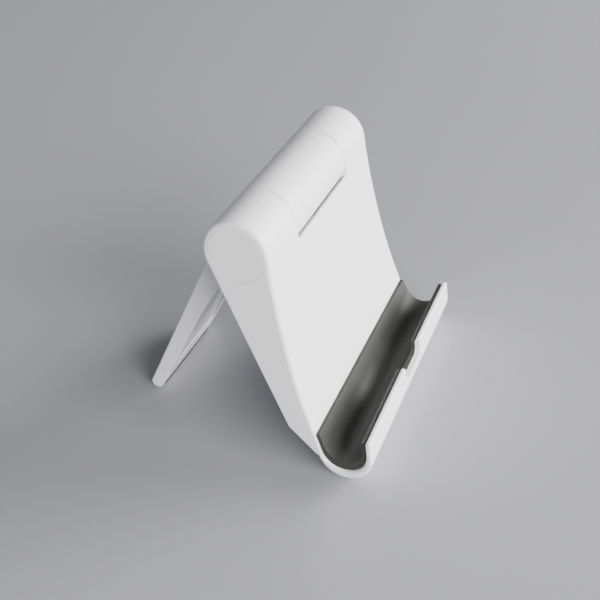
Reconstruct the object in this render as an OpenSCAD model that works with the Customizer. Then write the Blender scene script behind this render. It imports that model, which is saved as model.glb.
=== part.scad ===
// Folding tablet stand: a flared front shell with a J-shaped cradle, and a support leg that turns on
// a screw through the barrel at the top. X runs along the hinge, -Y is the side the tablet leans on,
// Z is up, and the stand rests on Z = 0 with its leg open.

/* [Barrel and hinge] */
// Height of the hinge axis above the table
hinge_h = 72.7; // [71:0.1:74]
// Radius of the barrel along the top
barrel_r = 10; // [9.8:0.1:10.2]
// Width of the shell at the hinge axis
shell_w = 78.5; // [76:0.5:82]
// Width of the leg and of its knuckle in the middle of the barrel
leg_w = 39; // [37:0.5:40]
// Gap between neighbouring knuckles
knuckle_gap = 0.3; // [0.25:0.05:0.4]
// Nominal diameter of the hinge screw
screw_d = 4; // [3.8:0.1:4]

/* [Front shell] */
// Growth in width on each side for every millimetre below the hinge
flare = 0.057; // [0.05:0.001:0.06]
// Lean of the shell's centre line from upright, in degrees
shell_lean = 17; // [16:0.5:18]
// Radius of the hollow curve that the tablet leans on
face_r = 280; // [275:1:290]
// Angle on the barrel at which that curve starts, in degrees
face_start = 1; // [0.5:0.1:1.5]
// Slope of the side rails' rear edges from upright, in degrees
rear_slope = 19; // [18.6:0.1:19.4]
// Thickness of the moulded walls
wall = 2.2; // [2:0.1:2.4]
// Depth below the hinge axis of the front wall's top edge, in front of the leg's knuckle
ledge_drop = 5.1; // [4.8:0.1:5.4]

/* [Cradle] */
// Inside radius of the moulded channel
channel_r = 7.2; // [7:0.1:7.4]
// Outside radius of the moulded channel
hook_r = 8.5; // [8.4:0.1:8.8]
// Height of the channel's floor above the table
channel_floor = 3.3; // [3.1:0.1:3.5]
// Height of the lip above the table
lip_h = 15.4; // [14.5:0.1:16]
// Width of the cable notch in the lip
notch_w = 15; // [12:0.5:18]
// Depth of the cable notch
notch_depth = 4.8; // [4:0.1:5.5]
// Inside radius of the soft liner
liner_r = 6; // [5.8:0.1:6.1]
// Thickness of the liner at the channel's floor
liner_floor = 2.9; // [2.6:0.1:3]
// Distance that the liner stops short of the channel's ends
liner_inset = 0.7; // [0.4:0.1:1.5]

/* [Leg] */
// Angle of the open leg from upright, in degrees
leg_angle = 32; // [31.5:0.1:32.5]
// Radius of the rounded foot
foot_r = 2.2; // [2:0.1:2.4]
// Thickness of the leg at the end of its curved root
leg_t = 5.3; // [5:0.1:5.5]
// Distance from the hinge axis to the end of the curved root
leg_root = 55; // [52:1:58]
// Radius of the hollow curve at the root
leg_root_r = 118; // [112:1:125]

/* [Hidden] */
$fn = 96;

far = 200;                  // longer than the whole stand
eps = 0.01;                 // overlap between joined shapes
sink = 0.02;                // depth of flat faces below the round ones that they run into
white = [0.93, 0.93, 0.94];
grey = [0.24, 0.24, 0.22];
steel = [0.7, 0.71, 0.73];

// Pads stand a little proud of the mouldings, so the mouldings stop this far above the table
lift = 0.4;
pad_t = 1.4;

// Side view of the shell, in (y, z) with y = 0 on the hinge axis
hinge = [0, hinge_h];
face_c = hinge + (barrel_r + face_r) * [-cos(face_start), sin(face_start)];
channel_z = channel_floor + channel_r;
channel_turn = asin((face_c[1] - channel_z) / (face_r - channel_r));
channel_c = face_c + (face_r - channel_r) * [cos(channel_turn), -sin(channel_turn)];
channel_meet_z = channel_z - channel_r * sin(channel_turn);
hook_c = [channel_c[0] - 0.3, hook_r + lift];
lip_out = hook_c[0] - hook_r;
lip_in = channel_c[0] - channel_r;
lip_r = (lip_in - lip_out) / 2;
rear_dir = [-sin(rear_slope), -cos(rear_slope)];
rear_out = [cos(rear_slope), -sin(rear_slope)];
rear_top = hinge + barrel_r * rear_out;
rear_len = 56.2;            // from the barrel to the kink above the channel
rear_kink = rear_top + rear_len * rear_dir;
chamfer_len = 12.3;         // from the kink to the channel's underside
chamfer_slope = 43;
chamfer_end = rear_kink + chamfer_len * [-sin(chamfer_slope), -cos(chamfer_slope)];
liner_c = [channel_c[0], channel_floor + liner_floor + liner_r];
liner_top = 14.8;
notch_r = 2;

// Side view of the leg, with s along it from the hinge and d its depth from the outer face
leg_dir = [sin(leg_angle), -cos(leg_angle)];
leg_out = [cos(leg_angle), sin(leg_angle)];
foot_s = (hinge_h - foot_r - lift + leg_out[1] * (barrel_r - foot_r)) / cos(leg_angle);
foot_c = hinge + leg_out * (barrel_r - foot_r) + leg_dir * foot_s;

// Centre of the hollow curve at the leg's root, and the point where it runs into the flat inner face
root = hinge + leg_out * (barrel_r - leg_t) + leg_dir * leg_root;
curve_c = root - leg_out * leg_root_r;

// The whole stand is centred over its own footprint
rear_reach = foot_c[0] + foot_r;
mid_y = (lip_out + rear_reach) / 2;

// Knuckles and the pockets in their outer ends
knuckle_x = leg_w / 2 + knuckle_gap;
screw_r = screw_d / 2;
seat_x = 28;                // where the screw's head and nut bear on the shell
cap_r = 8.4;
cap_t = 2.6;
cap_seat_x = shell_w / 2 - cap_t;
pocket_r = 6.2;
slot_r = barrel_r + 0.4;    // hollow around the leg's knuckle
recess_x = leg_w / 2 + 0.6; // half width of the space that takes the folded leg
rib_t = 1.8;
washer_r = 8;               // friction washers between the knuckles
washer_sink = 0.3;          // their depth in the outer knuckles
bush_r = 3;
head_r = 3.5;
head_h = 4;
steel_washer_t = 0.8;
spring_t = 1.8;             // height of the two squeezed spring washers
nut_h = 3.2;

// Pushes a (y, z) outline sideways over a width, centred on the middle of the stand
module across(width) {
    rotate([90, 0, 90]) linear_extrude(width, center = true) children();
}

// Points of an arc around c from angle a0 to angle a1
function arc(c, r, a0, a1, n) =
    [for (i = [0:n]) let (a = a0 + (a1 - a0) * i / n) c + r * [cos(a), sin(a)]];

// A round bar, bore or disc along the hinge axis from x0 to x1
module on_axis(r, x0, x1) {
    translate([x0, 0, hinge_h]) rotate([0, 90, 0]) cylinder(r = r, h = x1 - x0);
}

// A round bar along X around the point c of the side view
module bar(c, r, width = far) {
    translate([-width / 2, c[0], c[1]]) rotate([0, 90, 0]) cylinder(r = r, h = width);
}

// Everything between the two flared side planes, moved in by inset
module flared(inset) {
    top = 30;
    bottom = 100;
    w_top = shell_w / 2 - flare * top - inset;
    w_bottom = shell_w / 2 + flare * bottom - inset;
    translate([0, 0, hinge_h]) rotate([-shell_lean, 0, 0]) rotate([90, 0, 0])
        linear_extrude(far, center = true)
            polygon([[-w_top, top], [w_top, top], [w_bottom, -bottom], [-w_bottom, -bottom]]);
}

// The hollow in front of the shell: the tablet's face curve running into the channel
module front_space() {
    bar(channel_c, channel_r);
    intersection() {
        bar(face_c, face_r, 2 * far);
        translate([-far / 2, channel_c[0], channel_meet_z]) cube([far, far, far]);
    }
    translate([-far / 2, lip_in, channel_z]) cube([far, channel_r + eps, far]);
}

// The shell before it is hollowed, as wide as the given width
module shell_body() {
    face_touch = hinge - [1, -tan(face_start)] * (hinge[0] - channel_c[0]);
    difference() {
        union() {
            across(far) polygon([
                hinge, rear_top, rear_kink, chamfer_end, hook_c, [channel_c[0], hook_c[1]], face_touch
            ]);
            bar(hook_c, hook_r);
        }
        front_space();
    }
    translate([-far / 2, lip_out, hook_c[1]]) cube([far, 2 * lip_r, lip_h - lip_r - hook_c[1]]);
    bar([lip_out + lip_r, lip_h - lip_r], lip_r);
    bar(hinge, barrel_r);
}

// Space behind the rails' rear edges, starting depth millimetres inside them
module behind_rear(depth, width) {
    across(width) translate(rear_top - depth * rear_out) rotate(-rear_slope - 90)
        translate([-far, 0]) square([2 * far, far]);
}

// Space between the shell's front wall and its open back, from z0 up to z1
module back_space(z0, z1, width) {
    difference() {
        translate([-width / 2, -30, z0]) cube([width, 60, z1 - z0]);
        bar(face_c, face_r + wall, 2 * far);
    }
}

// Rounded notch in the lip for a charging cable, cut from the front
module cable_notch() {
    z0 = lip_h - notch_depth;
    translate([0, lip_in + 4, 0]) rotate([90, 0, 0]) linear_extrude(12) {
        translate([-notch_w / 2, z0 + notch_r]) square([notch_w, far]);
        translate([-notch_w / 2 + notch_r, z0]) square([notch_w - 2 * notch_r, far]);
        for (side = [-1, 1]) translate([side * (notch_w / 2 - notch_r), z0 + notch_r]) circle(notch_r);
    }
}

// Everything in front of the leg's knuckle, above the top edge of the front wall
module knuckle_window() {
    depth = 3 * barrel_r;
    translate([-knuckle_x, -depth, hinge_h - ledge_drop]) cube([2 * knuckle_x, depth, depth]);
}

// White moulded shell: backrest, side rails, ribs, outer knuckles and channel in one piece
module front_shell() {
    leg_depth = leg_t + 0.7;
    pocket_top = hinge_h - barrel_r - 1.5;
    pocket_low = 20;
    pocket_mid = (pocket_top + pocket_low) / 2;
    color(white) difference() {
        intersection() {
            shell_body();
            flared(0);
        }
        // room for the leg's knuckle and for the folded leg
        on_axis(slot_r, -knuckle_x, knuckle_x);
        knuckle_window();
        back_space(24, hinge_h + far, 2 * recess_x);
        behind_rear(leg_depth, 2 * recess_x);
        // lightening pockets between the ribs and the rails
        for (z = [[pocket_low, pocket_mid - rib_t / 2], [pocket_mid + rib_t / 2, pocket_top]])
            for (side = [0, 1]) mirror([side, 0, 0])
                intersection() {
                    back_space(z[0], z[1], far);
                    flared(wall + 0.2);
                    translate([recess_x + rib_t, -far / 2, 0]) cube([far, far, far]);
                }
        // bore, screw pockets and cap seats
        on_axis(screw_r + 0.1, -far / 2, far / 2);
        for (side = [0, 1]) mirror([side, 0, 0]) {
            on_axis(pocket_r, seat_x, far / 2);
            on_axis(cap_r, cap_seat_x, far / 2);
            on_axis(washer_r + 0.1, knuckle_x - eps, knuckle_x + washer_sink);
            base_pad_block();
        }
        cable_notch();
    }
}

// Soft grey liner that holds the tablet's edge, moulded to the channel and thicker along its floor
module channel_liner() {
    steps = 24;
    rear_lean = channel_turn + 3;
    outer_turn = asin((face_c[1] - liner_top) / face_r);
    inner_rise = (liner_top - liner_c[1] + liner_r * sin(rear_lean)) / cos(rear_lean);
    rear_foot = liner_c + liner_r * [cos(rear_lean), -sin(rear_lean)];
    color(grey) difference() {
        intersection() {
            across(far) polygon([
                each arc(face_c, face_r, -outer_turn, -channel_turn, 4),
                each arc(channel_c, channel_r, -channel_turn, -180, steps),
                [lip_in, liner_top],
                [liner_c[0] - liner_r, liner_top],
                each arc(liner_c, liner_r, -180, -rear_lean, steps),
                rear_foot + inner_rise * [sin(rear_lean), cos(rear_lean)]
            ]);
            flared(liner_inset);
        }
        cable_notch();
    }
}

// Block for one anti-slip pad under the channel, on the +X side
module base_pad_block() {
    translate([22, hook_c[0] - 3, 0]) cube([16, 6, pad_t]);
}

module base_pad_left() {
    color(grey) mirror([1, 0, 0]) base_pad_block();
}

module base_pad_right() {
    color(grey) base_pad_block();
}

// Disc that closes an outer knuckle, on the +X side, cut flush with the flared side
module end_cap() {
    color(white) intersection() {
        difference() {
            on_axis(cap_r - 0.02, cap_seat_x, far / 2);
            on_axis(pocket_r - 1.6, cap_seat_x - eps, cap_seat_x + 0.8);
        }
        flared(0);
    }
}

module end_cap_left() {
    mirror([1, 0, 0]) end_cap();
}

module end_cap_right() {
    end_cap();
}

// Steel cap screw with a hexagon socket, its head on the left
module hinge_screw() {
    head_x = -seat_x - steel_washer_t;
    socket_d = 3;
    color(steel) difference() {
        union() {
            on_axis(screw_r, head_x - 1, seat_x + 8);
            on_axis(head_r, head_x - head_h, head_x);
        }
        translate([head_x - head_h - eps, 0, hinge_h]) rotate([0, 90, 0])
            cylinder(d = socket_d / cos(30), h = head_h / 2, $fn = 6);
    }
}

// Flat steel washer from x0
module flat_washer(x0) {
    color(steel) difference() {
        on_axis(4.5, x0, x0 + steel_washer_t);
        on_axis(screw_r + 0.1, x0 - 1, x0 + 2);
    }
}

module screw_washer() {
    flat_washer(-seat_x - steel_washer_t);
}

module nut_washer() {
    flat_washer(seat_x);
}

// Coned spring washer: a thin conical ring, its high side facing along dir
module disc_spring(x0, dir) {
    r_in = screw_r + 0.1;
    r_out = 4;
    thick = 0.5;
    rise = 0.4;
    color(steel) translate([x0, 0, hinge_h]) rotate([0, dir * 90, 0])
        rotate_extrude() polygon([[r_in, rise], [r_out, 0], [r_out, thick], [r_in, rise + thick]]);
}

module disc_spring_inner() {
    disc_spring(seat_x + steel_washer_t, 1);
}

module disc_spring_outer() {
    disc_spring(seat_x + steel_washer_t + spring_t, -1);
}

// Hexagon lock nut that keeps the spring washers squeezed
module lock_nut() {
    x0 = seat_x + steel_washer_t + spring_t;
    across_flats = 7;
    collar = 1.4;
    color(steel) difference() {
        union() {
            translate([x0, 0, hinge_h]) rotate([0, 90, 0])
                cylinder(d = across_flats / cos(30), h = nut_h, $fn = 6);
            on_axis(3.2, x0 + nut_h - eps, x0 + nut_h + collar);
        }
        on_axis(screw_r, x0 - 1, x0 + nut_h + 3);
    }
}

// Thin plastic washer between an outer knuckle and the leg's knuckle, on the +X side
module friction_washer() {
    color([0.85, 0.84, 0.8]) difference() {
        on_axis(washer_r, knuckle_x - 0.2, knuckle_x + washer_sink);
        on_axis(screw_r + 0.1, 0, far / 2);
    }
}

module friction_washer_left() {
    mirror([1, 0, 0]) friction_washer();
}

module friction_washer_right() {
    friction_washer();
}

// The leg and its knuckle before the panel, the bore and the pad's seat are cut
module leg_body() {
    bar(hinge, barrel_r, leg_w);
    bar(foot_c, foot_r, leg_w);
    difference() {
        across(leg_w) polygon([
            hinge, hinge + leg_out * (barrel_r - sink), foot_c + leg_out * (foot_r - sink),
            foot_c, foot_c - leg_out * (foot_r - sink),
            root, root - leg_out * 12, hinge - leg_out * (barrel_r - 2) + leg_dir * 5
        ]);
        bar(curve_c, leg_root_r);
    }
}

// White moulded support leg with the middle knuckle of the barrel at its top
module support_leg() {
    panel_depth = 1.2;
    border = 4.5;
    color(white) difference() {
        leg_body();
        // shallow panel in the face that folds against the shell
        panel_cut(panel_depth, border);
        on_axis(bush_r, -leg_w, leg_w);
        foot_pad_block();
    }
}

// Cutter for the recessed panel: the leg's inner face pushed in by depth, inside a border
module panel_cut(depth, border) {
    panel_s = 24;           // where the panel starts, below the hinge
    intersection() {
        union() {
            bar(curve_c, leg_root_r + depth);
            across(far) translate(root + leg_out * depth) rotate(leg_angle - 180) square([far, far]);
        }
        across(leg_w - 2 * border) translate(hinge + leg_dir * panel_s - leg_out * 20) rotate(leg_angle - 90)
            square([foot_s - panel_s - 8, 40]);
    }
}

// Sleeve bush pressed into an end of the leg's knuckle, on the +X side
module knuckle_bush() {
    color([0.85, 0.84, 0.8]) difference() {
        on_axis(bush_r, leg_w / 2 - 10, leg_w / 2);
        on_axis(screw_r + 0.05, 0, far / 2);
    }
}

module knuckle_bush_left() {
    mirror([1, 0, 0]) knuckle_bush();
}

module knuckle_bush_right() {
    knuckle_bush();
}

// Anti-slip strip let into the leg's foot
module foot_pad_block() {
    translate([-leg_w / 2 + 3, foot_c[0] - 1.2, 0]) cube([leg_w - 6, 2.4, pad_t]);
}

module foot_pad() {
    color(grey) foot_pad_block();
}

// Places a piece in the stand's own frame
module placed() {
    translate([0, -mid_y, 0]) children();
}

placed() front_shell();
placed() channel_liner();
placed() base_pad_left();
placed() base_pad_right();
placed() end_cap_left();
placed() end_cap_right();
placed() hinge_screw();
placed() screw_washer();
placed() nut_washer();
placed() disc_spring_inner();
placed() disc_spring_outer();
placed() lock_nut();
placed() friction_washer_left();
placed() friction_washer_right();
placed() support_leg();
placed() knuckle_bush_left();
placed() knuckle_bush_right();
placed() foot_pad();
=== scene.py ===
import math

import bmesh
import bpy
from mathutils import Matrix, Vector


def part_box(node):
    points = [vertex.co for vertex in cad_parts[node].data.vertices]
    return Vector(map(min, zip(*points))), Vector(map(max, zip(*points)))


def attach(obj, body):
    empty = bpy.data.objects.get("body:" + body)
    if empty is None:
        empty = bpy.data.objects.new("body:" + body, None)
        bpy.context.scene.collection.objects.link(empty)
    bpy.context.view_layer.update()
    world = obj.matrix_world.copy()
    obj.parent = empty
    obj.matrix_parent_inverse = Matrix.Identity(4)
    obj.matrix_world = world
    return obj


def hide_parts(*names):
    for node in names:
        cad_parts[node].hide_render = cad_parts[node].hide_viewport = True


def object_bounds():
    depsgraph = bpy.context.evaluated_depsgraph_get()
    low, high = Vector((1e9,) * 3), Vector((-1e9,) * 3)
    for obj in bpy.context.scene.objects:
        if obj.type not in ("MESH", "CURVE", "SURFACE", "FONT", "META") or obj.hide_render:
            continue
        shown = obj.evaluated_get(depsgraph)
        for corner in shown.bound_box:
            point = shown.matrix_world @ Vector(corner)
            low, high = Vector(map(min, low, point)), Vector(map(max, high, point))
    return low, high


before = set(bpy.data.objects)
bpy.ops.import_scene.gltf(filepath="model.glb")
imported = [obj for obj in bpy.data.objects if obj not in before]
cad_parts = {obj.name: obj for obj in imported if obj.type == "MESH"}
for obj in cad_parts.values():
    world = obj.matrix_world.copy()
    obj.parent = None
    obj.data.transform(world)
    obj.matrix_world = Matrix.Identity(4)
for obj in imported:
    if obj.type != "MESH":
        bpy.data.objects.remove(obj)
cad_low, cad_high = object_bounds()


# Front shell
# One injection moulding in white ABS: backrest, side rails, two outer knuckles and the cradle's channel.
# Its outline's rims are rounded, fully along the rails and less on the thin lip, as the tool leaves them.

MM = 0.001


def welded(node):
    """A CAD node's mesh as a bmesh, with the points its faces share made one."""
    work = bmesh.new()
    work.from_mesh(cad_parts[node].data)
    bmesh.ops.remove_doubles(work, verts=work.verts, dist=0.002 * MM)
    return work


def side_face(node):
    """The outline of a CAD node's outermost flat side, as (y, z) points, with that side's plane.

    The plane comes as its normal and its distance from the origin. It may lean inward as it rises.
    """
    work = welded(node)
    upright = [f for f in work.faces if f.normal.x > 0.99 and f.normal.z > -0.001]
    reach = max(v.co.dot(f.normal) for f in upright for v in f.verts)
    flush = reach - 0.01 * MM
    # a list, so that the outline starts at the same point in every run
    side = [f for f in upright if min(v.co.dot(f.normal) for v in f.verts) > flush]
    normal = max(side, key=lambda f: f.calc_area()).normal.copy()
    after = {}
    for face in side:
        for loop in face.loops:
            if sum(f in side for f in loop.edge.link_faces) == 1:
                after[loop.vert] = loop.link_loop_next.vert
    outlines = []
    while after:
        start, vert = after.popitem()
        outline = [start.co.yz]
        while vert != start:
            outline.append(vert.co.yz)
            vert = after.pop(vert)
        outlines.append(outline)
    work.free()
    outline = max(outlines, key=lambda points: max(p.y for p in points) - min(p.y for p in points))
    return outline, normal, reach


def pushed_out(outline, distances):
    """The anticlockwise outline with each point moved outward by its distance."""
    moved = []
    for i, point in enumerate(outline):
        behind = (point - outline[i - 1]).normalized()
        ahead = (outline[(i + 1) % len(outline)] - point).normalized()
        first = Vector((behind.y, -behind.x))
        second = Vector((ahead.y, -ahead.x))
        moved.append(point + (first + second) / max(0.5, 1 + first.dot(second)) * distances[i])
    return moved


def new_piece(name, verts, faces):
    mesh = bpy.data.meshes.new(name)
    mesh.from_pydata(verts, [], faces)
    piece = bpy.data.objects.new(name, mesh)
    bpy.context.scene.collection.objects.link(piece)
    return piece


def swept(name, outline, normal, reach, rims, proud=0.0, steps=9):
    """A solid with that side view between two mirrored side planes, its rims rounded by rims[i].

    With proud, it is a tool that stands proud of the shape everywhere but at its rims. Each ring is how
    far it lies inward and deep, as parts of the rim, then how far it lies out and sunk, in metres.
    """
    spare = 1 if proud else 0
    turns = [math.pi / 2 * k / (steps + spare) for k in range(1, steps + 1)]
    rings = [(1 + 0.05 * spare, 0, 0, -proud)]
    rings += [(1 - math.sin(turn), 1 - math.cos(turn), 0, 0) for turn in turns]
    if proud:
        rings.append((0, 1, proud, proud))
    verts = []
    for side in (1, -1):
        for inward, deep, out, sunk in rings[::side]:
            ring = pushed_out(outline, [out - inward * rim for rim in rims])
            for point, rim in zip(ring, rims):
                x = (reach - normal.y * point.x - normal.z * point.y) / normal.x - deep * rim - sunk
                verts.append((side * x, point.x, point.y))
    count = len(outline)
    last = len(verts) - count
    faces = [list(range(count)), list(range(last, last + count))[::-1]]
    for start in range(0, last, count):
        for i in range(count):
            here, there = start + i, start + (i + 1) % count
            faces.append([there, here, here + count, there + count])
    return new_piece(name, verts, faces)


def plain_copy(node, name):
    """A new piece with a CAD node's shape, welded, without its stored normals."""
    work = welded(node)
    work.verts.index_update()
    verts = [v.co.copy() for v in work.verts]
    faces = [[v.index for v in f.verts] for f in work.faces]
    work.free()
    return new_piece(name, verts, faces)


def cut_with(piece, tool, operation):
    """Keeps what a piece shares with the tool, or cuts the tool away from it, and removes the tool."""
    cut = piece.modifiers.new("cut", "BOOLEAN")
    cut.object = tool
    cut.operation = operation
    cut.solver = "EXACT"
    shaped = piece.evaluated_get(bpy.context.evaluated_depsgraph_get())
    piece.data = bpy.data.meshes.new_from_object(shaped)
    piece.modifiers.clear()
    bpy.data.objects.remove(tool)


def shade(piece):
    """Smooth shading over the curves and rims, with a crease at every edge sharper than 30 degrees."""
    crease = math.radians(30)
    speck = 0.001 * MM
    mesh = piece.data
    work = bmesh.new()
    work.from_mesh(mesh)
    bmesh.ops.remove_doubles(work, verts=work.verts, dist=speck)
    bmesh.ops.dissolve_degenerate(work, dist=speck, edges=work.edges)
    work.to_mesh(mesh)
    work.free()
    mesh.shade_smooth()
    mesh.set_sharp_from_angle(angle=crease)
    weights = piece.modifiers.new("normals", "WEIGHTED_NORMAL")
    weights.keep_sharp = True


def eased(value, low, high):
    """0 below low and 1 above high, with a smooth rise between."""
    t = min(1, max(0, (value - low) / (high - low)))
    return t * t * (3 - 2 * t)


class Value:
    """A socket of a finish. Sums and products of it add their Math nodes."""

    def __init__(self, finish, socket):
        self.finish = finish
        self.socket = socket

    def __add__(self, other):
        return self.finish.node("Math", {"operation": "ADD"}, {0: self, 1: other})

    def __mul__(self, other):
        return self.finish.node("Math", {"operation": "MULTIPLY"}, {0: self, 1: other})

    __radd__ = __add__
    __rmul__ = __mul__


class Finish:
    """The nodes of one material or sky around its shader, whose even values are given by keyword."""

    def __init__(self, owner, shader="Principled BSDF", **even):
        self.owner = owner
        owner.use_nodes = True
        self.tree = owner.node_tree
        self.shader = self.tree.nodes[shader]
        for socket, value in even.items():
            self.put(socket.replace("_", " "), value)

    def put(self, socket, value, node=None):
        """Sets or links one socket of the shader, or of another node."""
        target = (node or self.shader).inputs[socket]
        if isinstance(value, Value):
            self.tree.links.new(value.socket, target)
        else:
            target.default_value = value

    def node(self, kind, settings=None, sockets=None, out=0):
        """Adds a node: its settings, then the values or links of its sockets."""
        made = self.tree.nodes.new("ShaderNode" + kind)
        for name, value in (settings or {}).items():
            if name == "stops":
                for stop, (place, colour) in zip(made.color_ramp.elements, value):
                    stop.position = place
                    stop.color = colour
            else:
                setattr(made, name, value)
        for socket, value in (sockets or {}).items():
            self.put(socket, value, made)
        return Value(self, made.outputs[out])

    def noise(self, per_metre, detail=2.0, stretch=None):
        """Noise through the piece, finer along each axis by its stretch."""
        place = self.node("TexCoord", out="Object")
        if stretch:
            place = self.node("VectorMath", {"operation": "MULTIPLY"}, {0: place, 1: stretch})
        return self.node("TexNoise", None, {"Vector": place, "Scale": per_metre, "Detail": detail})

    def mix(self, factor, first, second):
        """Blends two colours; 6 and 7 are the Mix node's colour sockets and 2 its colour output."""
        return self.node("Mix", {"data_type": "RGBA"}, {0: factor, 6: first, 7: second}, out=2)

    def bump(self, height, distance, under=None):
        sockets = {"Height": height, "Distance": distance}
        if under:
            sockets["Normal"] = under
        return self.node("Bump", None, sockets)

    def wear(self, piece):
        piece.data.materials.clear()
        piece.data.materials.append(self.owner)


def tinted(colour, by):
    return tuple(by * c for c in colour[:3]) + (1,)


def moulded_abs(name, colour):
    """Satin ABS: faint flow clouds in colour and gloss, a slight orange peel, and a fine even grain."""
    finish = Finish(bpy.data.materials.new(name), Coat_Weight=0.12, Coat_Roughness=0.25)
    clouds = finish.noise(28, 3)
    peel = finish.noise(420, 1)
    grain = finish.noise(2600)
    finish.put("Base Color", finish.mix(clouds, tinted(colour, 0.965), colour))
    finish.put("Roughness", 0.33 + 0.10 * clouds + 0.06 * grain)
    finish.put("Normal", finish.bump(grain, 0.004 * MM, finish.bump(peel, 0.012 * MM)))
    return finish


outline, normal, reach = side_face("front_shell")
washer_low, washer_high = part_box("friction_washer_right")
hinge = (Vector(washer_low[1:]) + Vector(washer_high[1:])) / 2
cradle_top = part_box("channel_liner")[1][2]
rail_rim = 1.3 * MM
rear_rim = 0.6 * MM
lip_rim = 0.55 * MM
floor_rim = 1.0 * MM
shell_proud = 0.03 * MM

# the rims blend into each other over some millimetres of the outline
rims = []
for point in outline:
    on_rail = eased(point.y, cradle_top, cradle_top + 14 * MM)
    behind = eased(point.x, hinge.x + 2 * MM, hinge.x + 9 * MM) * eased(hinge.y - point.y, 0, 20 * MM)
    under = 1 - eased(point.y, 4 * MM, 9 * MM)
    rim = lip_rim + (rail_rim - lip_rim) * on_rail
    rim += (rear_rim - rim) * behind
    rim += (floor_rim - rim) * under
    rims.append(rim)

shell = plain_copy("front_shell", "shell_moulding")
cut_with(shell, swept("shell_rims", outline, normal, reach, rims, proud=shell_proud), "INTERSECT")

# in front of the leg's knuckle, the backrest's top edge is a ledge sunk behind a thin white rim;
# its sizes are in mm from the hinge's axis
slot_front, slot_back, slot_floor, slot_top = -9.8, -6, -6.3, -4
slot = [(slot_front, slot_floor), (slot_back, slot_floor), (slot_back, slot_top), (slot_front, slot_top)]
slot = [hinge + MM * Vector(point) for point in slot]
slot_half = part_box("support_leg")[1][0]
slot_rim = 0.2 * MM
across = Vector((1, 0, 0))
cut_with(shell, swept("slot", slot, across, slot_half, [slot_rim] * len(slot)), "DIFFERENCE")
shade(shell)

white_abs = moulded_abs("white_abs", (0.865, 0.86, 0.885, 1))
white_abs.wear(shell)
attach(shell, "shell")
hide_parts("front_shell")


# End caps
# Two flush discs of white ABS, pressed into the outer knuckles over the screw's head and its nut.
# Their rims are eased, so a hairline groove shows all round each disc.

outline, normal, reach = side_face("end_cap_right")
cap_rim = 0.4 * MM
cap_proud = 0.01 * MM
rims = [cap_rim] * len(outline)
for node in ("end_cap_left", "end_cap_right"):
    cap = plain_copy(node, node + "_disc")
    tool = swept("cap_rims", outline, normal, reach, rims, proud=cap_proud, steps=5)
    cut_with(cap, tool, "INTERSECT")
    shade(cap)
    white_abs.wear(cap)
    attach(cap, "shell")
    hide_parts(node)


# Cradle liner
# A dark olive-grey silicone moulding pushed into the channel, where it grips the tablet's edge.
# Its corners are soft, and along the lip it stands a hair away from the white wall.

def silicone(name, colour):
    """Satin silicone with a fine grain and paler, drier clouds."""
    finish = Finish(bpy.data.materials.new(name), Specular_IOR_Level=0.45)
    clouds = finish.noise(110, 3)
    grain = finish.noise(3000)
    finish.put("Base Color", finish.mix(clouds, colour, tinted(colour, 1.4)))
    finish.put("Roughness", 0.50 + 0.05 * clouds + 0.10 * grain)
    finish.put("Normal", finish.bump(grain, 0.008 * MM))
    return finish


def softened(outline, radius):
    """The outline with its corners, which are the turns of 25 degrees and more, rounded."""
    corner = math.radians(25)
    steps = 5
    soft = []
    for i, point in enumerate(outline):
        behind = outline[i - 1] - point
        ahead = outline[(i + 1) % len(outline)] - point
        turn = math.pi - behind.angle(ahead)
        if turn < corner:
            soft.append(point)
            continue
        back = min(radius * math.tan(turn / 2), 0.45 * behind.length, 0.45 * ahead.length)
        start = point + back * behind.normalized()
        end = point + back * ahead.normalized()
        for k in range(steps + 1):
            t = k / steps
            soft.append((1 - t) ** 2 * start + 2 * t * (1 - t) * point + t * t * end)
    return soft


liner_low, liner_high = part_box("channel_liner")
liner_play = 0.02 * MM
liner_corner_r = 0.36 * MM
liner_rim = 0.25 * MM
lip_gap = 0.3 * MM
outline, normal, reach = side_face("channel_liner")
outline = softened(pushed_out(outline, [-liner_play] * len(outline)), liner_corner_r)
for point in outline:
    by_lip = eased(liner_low[1] + 3 * MM - point.x, 0, 2 * MM)
    point.x += lip_gap * by_lip * eased(point.y, liner_low[2] + 4 * MM, liner_high[2])
liner = swept("cradle_liner", outline, normal, reach, [liner_rim] * len(outline), steps=5)

# the cable notch in its lip side has rounded lower corners, and its tool is open above
notch_half = 7.5 * MM
notch_r = 2 * MM
notch_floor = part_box("front_shell")[0][2] + 10.2 * MM
notch_top = notch_floor + 10 * MM
notch = [(notch_half, notch_top), (-notch_half, notch_top)]
for side, start in ((-1, 180), (1, 270)):
    for degrees in range(start, start + 91, 10):
        turn = math.radians(degrees)
        middle = side * (notch_half - notch_r)
        notch.append((middle + notch_r * math.cos(turn), notch_floor + notch_r * (1 + math.sin(turn))))
count = len(notch)
near, far = liner_low[1] - 2 * MM, liner_low[1] + 4 * MM
verts = [(x, y, z) for y in (near, far) for x, z in notch]
faces = [list(range(count)), list(range(count, 2 * count))[::-1]]
for i in range(count):
    ahead = (i + 1) % count
    faces.append([ahead, i, i + count, ahead + count])
cut_with(liner, new_piece("liner_notch", verts, faces), "DIFFERENCE")
shade(liner)

grey_silicone = silicone("grey_silicone", (0.028, 0.028, 0.0245, 1))
grey_silicone.wear(liner)
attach(liner, "shell")
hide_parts("channel_liner")


# Base pads
# Two soft pads of dark silicone glued into seats under the channel, so that the stand doesn't slide.
# Grooves along each pad's underside give it grip.

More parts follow.
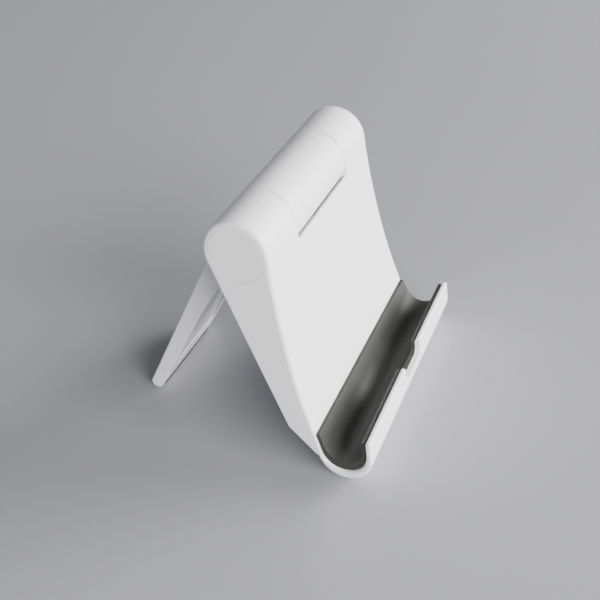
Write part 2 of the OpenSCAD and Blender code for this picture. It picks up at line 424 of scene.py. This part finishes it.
def grooved_pad(name, low, high, grooves):
    """A pad that fills the box, with rounded ends and grooves along X in its underside."""
    pad_rim = 0.15 * MM
    depth = 0.25 * MM
    land = 0.6
    pitch = (high[1] - low[1]) / (grooves + land)
    width = (1 - land) * pitch
    outline = [Vector((low[1], low[2]))]
    for k in range(grooves):
        start = low[1] + (k + land) * pitch
        outline.append(Vector((start, low[2])))
        outline.append(Vector((start + 0.3 * width, low[2] + depth)))
        outline.append(Vector((start + 0.7 * width, low[2] + depth)))
        outline.append(Vector((start + width, low[2])))
    outline += [Vector((high[1], low[2])), Vector((high[1], high[2])), Vector((low[1], high[2]))]
    half = (high[0] - low[0]) / 2
    pad = swept(name, outline, across, half, [pad_rim] * len(outline), steps=4)
    pad.data.transform(Matrix.Translation(((low[0] + high[0]) / 2, 0, 0)))
    shade(pad)
    return pad


for node in ("base_pad_left", "base_pad_right"):
    pad = grooved_pad(node + "_grip", *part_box(node), grooves=4)
    grey_silicone.wear(pad)
    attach(pad, "shell")
    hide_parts(node)


# Hinge screw, washers and lock nut
# Zinc-plated steel: a socket cap screw runs through the barrel, with a flat washer under its head and
# another under the lock nut. All of it sits behind the end caps.

def zinc_steel(name, colour):
    """Plated steel, finely turned round the screw's axis, with a soft mottled bloom."""
    finish = Finish(bpy.data.materials.new(name), Metallic=1.0)
    bloom = finish.noise(700, 3)
    turned = finish.noise(900, 2, stretch=(12, 1, 1))
    finish.put("Base Color", finish.mix(bloom, tinted(colour, 0.82), colour))
    finish.put("Roughness", 0.24 + 0.14 * bloom + 0.08 * turned)
    finish.put("Normal", finish.bump(turned, 0.004 * MM))
    return finish


plated = zinc_steel("zinc_plated_steel", (0.70, 0.71, 0.73, 1))
for node in ("hinge_screw", "screw_washer", "nut_washer", "lock_nut"):
    plated.wear(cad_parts[node])


# Spring washers
# A pair of coned spring-steel washers, back to back under the nut, keeps the hinge stiff as it wears.
# They are tempered, so they are browner and darker than the plated parts.

tempered = zinc_steel("tempered_spring_steel", (0.36, 0.31, 0.26, 1))
for node in ("disc_spring_inner", "disc_spring_outer"):
    tempered.wear(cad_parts[node])


# Support leg
# One white ABS moulding: the middle knuckle at its top, a shallow panel in its inner face, and a
# rounded foot. The knuckle's ends are nearly sharp and the blade's rims are round.

outline, normal, reach = side_face("support_leg")
knuckle_rim = 0.2 * MM
blade_rim = 0.7 * MM
leg_proud = 0.02 * MM
barrel_r = cad_high[2] - hinge.y
rims = []
for point in outline:
    on_blade = eased((point - hinge).length, barrel_r, barrel_r + 6 * MM)
    rims.append(knuckle_rim + (blade_rim - knuckle_rim) * on_blade)
leg = plain_copy("support_leg", "leg_moulding")
tool = swept("leg_rims", outline, normal, reach, rims, proud=leg_proud, steps=7)
cut_with(leg, tool, "INTERSECT")
shade(leg)
white_abs.wear(leg)
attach(leg, "leg")
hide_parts("support_leg")


# Knuckle bushes and friction washers
# Creamy acetal: a sleeve pressed into each end of the leg's knuckle, and a thin washer on each side of
# it that rubs as the leg turns.

def acetal(name, colour):
    """Slippery, slightly waxy plastic with fine turning marks."""
    finish = Finish(bpy.data.materials.new(name))
    clouds = finish.noise(180, 2)
    turned = finish.noise(800, 2, stretch=(10, 1, 1))
    finish.put("Base Color", finish.mix(clouds, tinted(colour, 0.93), colour))
    finish.put("Roughness", 0.38 + 0.08 * clouds + 0.06 * turned)
    finish.put("Normal", finish.bump(turned, 0.005 * MM))
    return finish


creamy = acetal("creamy_acetal", (0.76, 0.74, 0.66, 1))
for node in ("knuckle_bush_left", "knuckle_bush_right", "friction_washer_left", "friction_washer_right"):
    creamy.wear(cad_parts[node])


# Foot strip
# A narrow strip of the same dark silicone, let into the rounded foot, with one groove along it.

strip = grooved_pad("foot_grip", *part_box("foot_pad"), grooves=1)
grey_silicone.wear(strip)
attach(strip, "leg")
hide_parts("foot_pad")


# Floor
# A plain pale grey table top under the stand, smooth enough for a faint reflection.

half = 4
corners = [(-half, -half, 0), (half, -half, 0), (half, half, 0), (-half, half, 0)]
floor = new_piece("floor", corners, [[0, 1, 2, 3]])
table = Finish(bpy.data.materials.new("table_grey"), Specular_IOR_Level=0.35)
mottle = table.noise(9, 3)
table.put("Base Color", table.mix(mottle, (0.415, 0.415, 0.435, 1), (0.435, 0.435, 0.455, 1)))
table.put("Roughness", 0.28 + 0.06 * mottle)
table.wear(floor)


# Light
# A broad low softbox stands in front to the left, with a weaker one to the right. The sky is bright near
# the horizon and dim overhead, so the top of the barrel stays greyer than the backrest.

def softbox(name, place, size, power):
    light = bpy.data.lights.new(name, "AREA")
    light.shape = "SQUARE"
    light.size = size
    light.energy = power
    lamp = bpy.data.objects.new(name, light)
    facing = Vector(place).to_track_quat("Z", "Y").to_matrix().to_4x4()
    lamp.matrix_world = Matrix.Translation(place) @ facing
    bpy.context.scene.collection.objects.link(lamp)


softbox("key", (-0.70, -1.40, 0.28), 1.3, 84)
softbox("fill", (0.8, -1.2, 0.32), 1.0, 50)
sky = Finish(bpy.data.worlds.new("studio"), "Background", Strength=1.0)
way = sky.node("TexCoord", out="Generated")
height = sky.node("SeparateXYZ", None, {0: way}, out="Z")
stops = [(0.0, (0.88, 0.89, 0.92, 1)), (0.75, (0.07, 0.072, 0.076, 1))]
sky.put("Color", sky.node("ValToRGB", {"stops": stops}, {0: height}))
bpy.context.scene.world = sky.owner


# Camera
# It looks down from the front left, turned a little on its own axis.

azimuth, elevation, roll = (math.radians(angle) for angle in (-62.82, 33.82, -8.74))
back = Vector((
    math.sin(azimuth) * math.cos(elevation), -math.cos(azimuth) * math.cos(elevation), math.sin(elevation)
))
aim = Vector((-2.35, -8.9, 33.2)) * MM
distance = 290 * MM
lens = bpy.data.cameras.new("camera")
lens.lens = 54
lens.sensor_width = 36
lens.clip_start = 10 * MM
camera = bpy.data.objects.new("camera", lens)
bpy.context.scene.collection.objects.link(camera)
turn = back.to_track_quat("Z", "Y").to_matrix().to_4x4() @ Matrix.Rotation(roll, 4, "Z")
camera.matrix_world = Matrix.Translation(aim + distance * back) @ turn
bpy.context.scene.camera = camera
